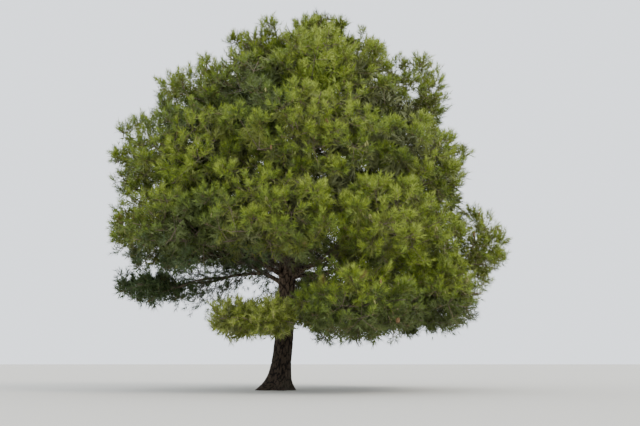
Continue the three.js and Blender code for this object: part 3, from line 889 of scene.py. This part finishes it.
# A shoot's thin bark is warmer than a twig's, with the pegs of its needles as a rough grain.
def buildShoots():
    roots, ways = shoots["roots"], shoots["ways"]
    across, up = squareTo(ways)
    ring = roots[:, None] + shoot["radius"] * turned(across[:, None], up[:, None], evenAngles(3)[:, None])
    tips = roots + ways * shoots["lengths"][:, None]
    points = join([ring, tips[:, None]], axis=1).reshape(-1, 3)
    faces = repeatFaces([[0, 1, 3], [1, 2, 3], [2, 0, 3], [0, 2, 1]], 4, len(roots))
    buildPiece("shootWood", points, faces, grainedFinish(
        "youngShootBark", shoot["low"], shoot["high"], 0.012, (0.38, 0.62), 0.001, 0.8))


# Larger than life, and two triangles to a pair. Sizes are (pairs, length, width at the foot).
needle = dict(
    onShoot=(9, 0.125, 0.0125), basal=(5, 0.15, 0.02), basalStray=0.2, basalReach=0.08,
    dry=(24, 0.1375, 0.0125), dryShoots=45,
    bareShare=0.15, leans=(66, 20), leanStray=0.2, turn=2.4, lengths=(0.75, 1.1), second=0.96,
    spread=0.2, spreads=(0.5, 1.3), twist=0.1, blade=0.9,
)


# The points of each pair of needles along each shoot: two at the foot and one at each tip.
# Their flat sides mostly face the open air.
def needlePairs(roots, ways, lengths, count, long, wide):
    share = (np.arange(count) + 0.5) / count
    total = len(roots)
    across, up = squareTo(ways)
    turn = uniform(0, fullTurn, (total, 1)) + needle["turn"] * np.arange(count)
    lean = np.radians(np.interp(share, (0, 1), needle["leans"]))
    lean = lean[None] + finePicker.normal(0, needle["leanStray"], (total, count))
    radial = turned(across[:, None], up[:, None], turn[..., None])
    outward = unit(turned(ways[:, None], radial, lean[..., None]))
    share = between(needle["bareShare"], 1, share)
    foot = roots[:, None] + ways[:, None] * (lengths[:, None] * share)[..., None]
    openAir = unit(foot - daylight["centre"])
    openAir = openAir + needle["blade"] * randomUnits(total * count).reshape(foot.shape)
    tangent = unit(np.cross(outward, openAir))
    long = long * uniform(*needle["lengths"], (total, count, 1))
    apart = needle["spread"] * uniform(*needle["spreads"], (total, count, 1))
    half = tangent * wide / 2
    sideways = tangent * apart
    first = foot + unit(outward + sideways) * long
    second = foot + unit(outward - sideways + needle["twist"] * radial) * long * needle["second"]
    return np.stack([foot - half, foot + half, first, second], axis=2).reshape(-1, 4, 3)


needlePieces = {}       # the pairs of needles of each piece


def addPairs(name, pairs):
    needlePieces.setdefault(name, []).append(pairs)


# Needles inside the crown, in painted shade: bluish dark under its open side, dark low on the other
# and in hollows. On the sunlit shoulders they take the painted light of the sun tint.
def addInnerPairs(name, pairs):
    right, behind, height = pairs[:, 0].T
    tuftBack, tuftTop = shading["tuftCorner"]
    lowRight, lowTop = shading["lowSide"]
    dark = (right < shading["darkSide"][0]) & (height < shading["darkTop"])
    dark &= (behind > tuftBack) | (height > tuftTop)
    shade = patchShade(pairs[:, 0])
    low = (right > lowRight) & (height < lowTop) | (shade > shading["hollowFrom"])
    kinds = np.select([dark, low, shade < shading["shoulderFrom"]], [0, 1, 2], 3)
    for kind, piece in enumerate(("hangingNeedles", "shadeNeedles", "sunNeedles", name)):
        addPairs(piece, pairs[kinds == kind])


# Each shoot's needles get a score for their tint that is mostly painted light and shade. It is
# lighter where the light reaches in, on shoots facing up and towards the sunny right, and darker in
# shaded tiers, undersides and hollows, with a random tone. Older needles at a shoot's foot are darker
# than the young ones at its tip.
def growNeedles():
    roots, ways, lengths = shoots["roots"], shoots["ways"], shoots["lengths"]
    pairs = needlePairs(roots, ways, lengths, *needle["onShoot"])
    middles = roots + ways * lengths[:, None]
    light = np.clip((lightShare(middles) - shading["lightFrom"]) / (1 - shading["lightFrom"]), 0, 1)
    score = (shading["light"] * light + shading["rising"] * ways[:, 2]
             + shading["tones"] * shoots["tones"] - shoots["shade"]
             + shading["chance"] * uniform(size=len(ways)))
    count = needle["onShoot"][0]
    score = score[:, None] + shading["young"] * (np.arange(count) / count > 0.5)
    return pairs, score + shading["across"] * middles[:, :1]


# Sparse living sprays among the dead twigs under the open side, in the painted shade of the
# hanging needles.
def growBareSprays():
    right, top = dead["spraySide"]
    bare = (deadTips[:, 0] < right) & (deadTips[:, 2] < top)
    tips, ways = deadTips[bare], deadWays[bare]
    sprays = needlePairs(tips - dead["sprayStart"] * ways, ways, np.full(len(tips), dead["sprayLength"]),
                         *needle["onShoot"])
    high = np.repeat(tips[:, 2] > dead["lowest"], needle["onShoot"][0])
    addPairs("hangingNeedles", sprays[high])


# Where each share of a whole starts and ends.
def portions(shares, total):
    ends = np.round(np.cumsum(shares) * total).astype(int)
    return list(zip([0, *ends[:-1]], ends))


# Deals the shoots' pairs to the tints by score, from painted shade to painted light. The hanging
# needles take their painted-shade colour. Every other one of the front tuft is paler: painted sunlight.
def dealNeedles(pairs, score):
    kinds = np.repeat(shoots["kinds"], needle["onShoot"][0])
    addPairs("hangingNeedles", pairs[kinds == "hanging"])
    rest = np.flatnonzero(kinds != "hanging")
    order = rest[np.argsort(score.ravel()[rest], kind="stable")]
    paler = (kinds[order] == "front_tuft") & (np.arange(len(order)) % 2 == 0)
    addPairs("tuftNeedles", pairs[order[paler]])
    names, _, shares = zip(*needleTints)
    for name, (start, end) in zip(names, portions(shares, len(order))):
        addPairs(name, pairs[order[start:end][~paler[start:end]]])


# Broad sprays inside the crown: (sprays on each twig, length, width).
spray = dict(
    pairs=7, places=(0.2, 1.05), inner=(3, 0.22, 0.027), main=(9, 0.22, 0.027), shell=(5, 0.28, 0.04),
    outer=(4, 0.19, 0.026), onRim=8, rimFrom=0.82,
)


# Sprays along each line, pointing all ways; count is one number or one per line.
def spraysAlong(lines, count, long, wide):
    lines = np.repeat(lines, count, axis=0)
    share = uniform(*spray["places"], (len(lines), 1))
    roots = between(lines[:, 0], lines[:, 1], share)
    lengths = np.full(len(roots), long)
    return needlePairs(roots, randomUnits(len(roots)), lengths, spray["pairs"], long, wide)


# Dark sprays along the twigs inside the crown, where little light comes.
def growInnerNeedles():
    kinds = dict(inner=innerTwigs[:, 1:], main=mainTips, shell=shellTwigs)
    addInnerPairs("innerNeedles", join([
        spraysAlong(lines, *spray[kind]) for kind, lines in kinds.items()]))


# Older needles under the tufts, along the twigs of the puffs and the lumps. Their duller green is
# partly their own and partly painted shade. By place, some take the painted shade or painted light
# of other pieces.
def growBaseNeedles():
    along = puffTwigs[:, 1] - puffTwigs[:, 0]
    lengths = lengthOf(along)
    ways = along / lengths[:, None] + needle["basalStray"] * randomUnits(len(along))
    basal = needlePairs(puffTwigs[:, 0], ways, lengths + needle["basalReach"], *needle["basal"])
    count, long, wide = spray["outer"]
    rim = lightShare(lumpTwigs[:, -1]) > spray["rimFrom"]
    outer = spraysAlong(lumpTwigs[:, 1:], np.where(rim, spray["onRim"], count), long, wide)
    addInnerPairs("baseNeedles", join([basal, outer]))


shoots = growShoots()
buildShoots()
pairs, score = growNeedles()
growBareSprays()
dealNeedles(pairs, score)
growInnerNeedles()
growBaseNeedles()


cone = dict(
    clusters=150, mostInCluster=3, length=0.12, width=0.036, pointed=0.35, openAir=0.84,
    hang=0.25, stray=0.3, places=(0.6, 0.95), drop=0.48, scaleSize=0.014,
    # (piece, finish, colours of the seams and the scales, share)
    kinds=[("greenCones", "unripeConeScales", "#6d6e40", "#b5b16f", 0.8),
           ("brownCones", "dryConeScales", "#5c442e", "#a8865b", 0.2)],
)


# One small closed cone, copied in ones to threes to hang from the shoots. Its scales are 14 mm
# across, each paler and raised in the middle, with darker seams between them.
def buildCones():
    deselectAll()
    bpy.ops.mesh.primitive_uv_sphere_add(segments=7, ring_count=5, radius=0.5)
    model = bpy.context.object
    model.scale = (cone["width"], cone["width"], cone["length"])
    bpy.ops.object.transform_apply(scale=True)
    shape = np.array([v.co for v in model.data.vertices])
    shape[:, :2] *= 1 - cone["pointed"] * np.clip(shape[:, 2:] / cone["length"] * 2, -1, 1)
    bpy.ops.object.mode_set(mode="EDIT")
    bpy.ops.mesh.quads_convert_to_tris()
    bpy.ops.object.mode_set(mode="OBJECT")
    pattern = [list(face.vertices) for face in model.data.polygons]
    bpy.data.objects.remove(model)
    bearing = np.flatnonzero(lightShare(shoots["roots"]) > cone["openAir"])
    clusters = finePicker.choice(bearing, cone["clusters"], replace=False)
    shares = portions([kind[-1] for kind in cone["kinds"]], len(clusters))
    for (name, finish, seam, scale, _), (start, end) in zip(cone["kinds"], shares):
        perCluster = finePicker.integers(1, cone["mostInCluster"] + 1, end - start)
        chosen = np.repeat(clusters[start:end], perCluster)
        onShoot = shoots["ways"][chosen]
        ways = unit(cone["hang"] * onShoot - upward + cone["stray"] * randomUnits(len(chosen)))
        across, up = squareTo(ways)
        share = uniform(*cone["places"], len(chosen)) * shoots["lengths"][chosen]
        middles = shoots["roots"][chosen] + onShoot * share[:, None]
        middles = middles + ways * cone["length"] * cone["drop"]
        points = np.einsum("vk,nkj->nvj", shape, np.stack([across, up, ways], axis=1)) + middles[:, None]
        faces = repeatFaces(pattern, len(shape), len(chosen))
        buildPiece(name, points.reshape(-1, 3), faces, grainedFinish(
            finish, seam, scale, cone["scaleSize"], (0.6, 0.15), 0.003, 0.65, "TexVoronoi"), smooth=True)


# A few shoots whose needles have dried to a reddish brown.
def growDryNeedles():
    chosen = finePicker.choice(len(shoots["roots"]), needle["dryShoots"], replace=False)
    addPairs("dryNeedles", needlePairs(
        *(shoots[key][chosen] for key in ("roots", "ways", "lengths")), *needle["dry"]))


# Pine needles have a thin wax: a soft, dull sheen in the light and no gloss.
def buildNeedlePieces():
    colours = {name: colour for name, colour, _ in needleTints} | placeColours
    for name, parts in needlePieces.items():
        points = join(parts)
        faces = repeatFaces([[0, 1, 2], [0, 1, 3]], 4, len(points))
        finish = plainFinish(name + "Wax", colours[name], 0.5, specular=0.35)
        buildPiece(name, points.reshape(-1, 3), faces, finish)


buildCones()
growDryNeedles()
buildNeedlePieces()


studio = dict(
    floor="#cfccc4", sky="#d5dae0", skyStrength=2.5, sunStrength=1.55, sun="#fff8ec", sunAngle=25,
    sunTurn=(48, 0, 57), cameraPlace=(0.98, -20.0, 0.65), cameraPitch=10.04, lens=47.25,
)


def setStudio():
    deselectAll()
    bpy.ops.mesh.primitive_plane_add(size=400, location=(0, 0, 0))
    floor = bpy.context.object
    floor.name = "floor"
    floor.data.materials.append(plainFinish("paleFloor", studio["floor"], 0.9, 0.1))
    world = bpy.data.worlds.new("paleStudio")
    world.use_nodes = True
    backdrop = world.node_tree.nodes["Background"]
    backdrop.inputs["Color"].default_value = linearColour(studio["sky"])
    backdrop.inputs["Strength"].default_value = studio["skyStrength"]
    bpy.context.scene.world = world
    light = bpy.data.lights.new("softKey", "SUN")
    light.energy = studio["sunStrength"]
    light.color = linearColour(studio["sun"])[:3]
    light.angle = math.radians(studio["sunAngle"])
    addObject("softKey", light).rotation_euler = np.radians(studio["sunTurn"])
    lens = bpy.data.cameras.new("viewer")
    lens.lens = studio["lens"]
    lens.clip_end = 500
    camera = addObject("viewer", lens)
    camera.location = studio["cameraPlace"]
    camera.rotation_euler = (math.radians(90 + studio["cameraPitch"]), 0, 0)
    bpy.context.scene.camera = camera


setStudio()
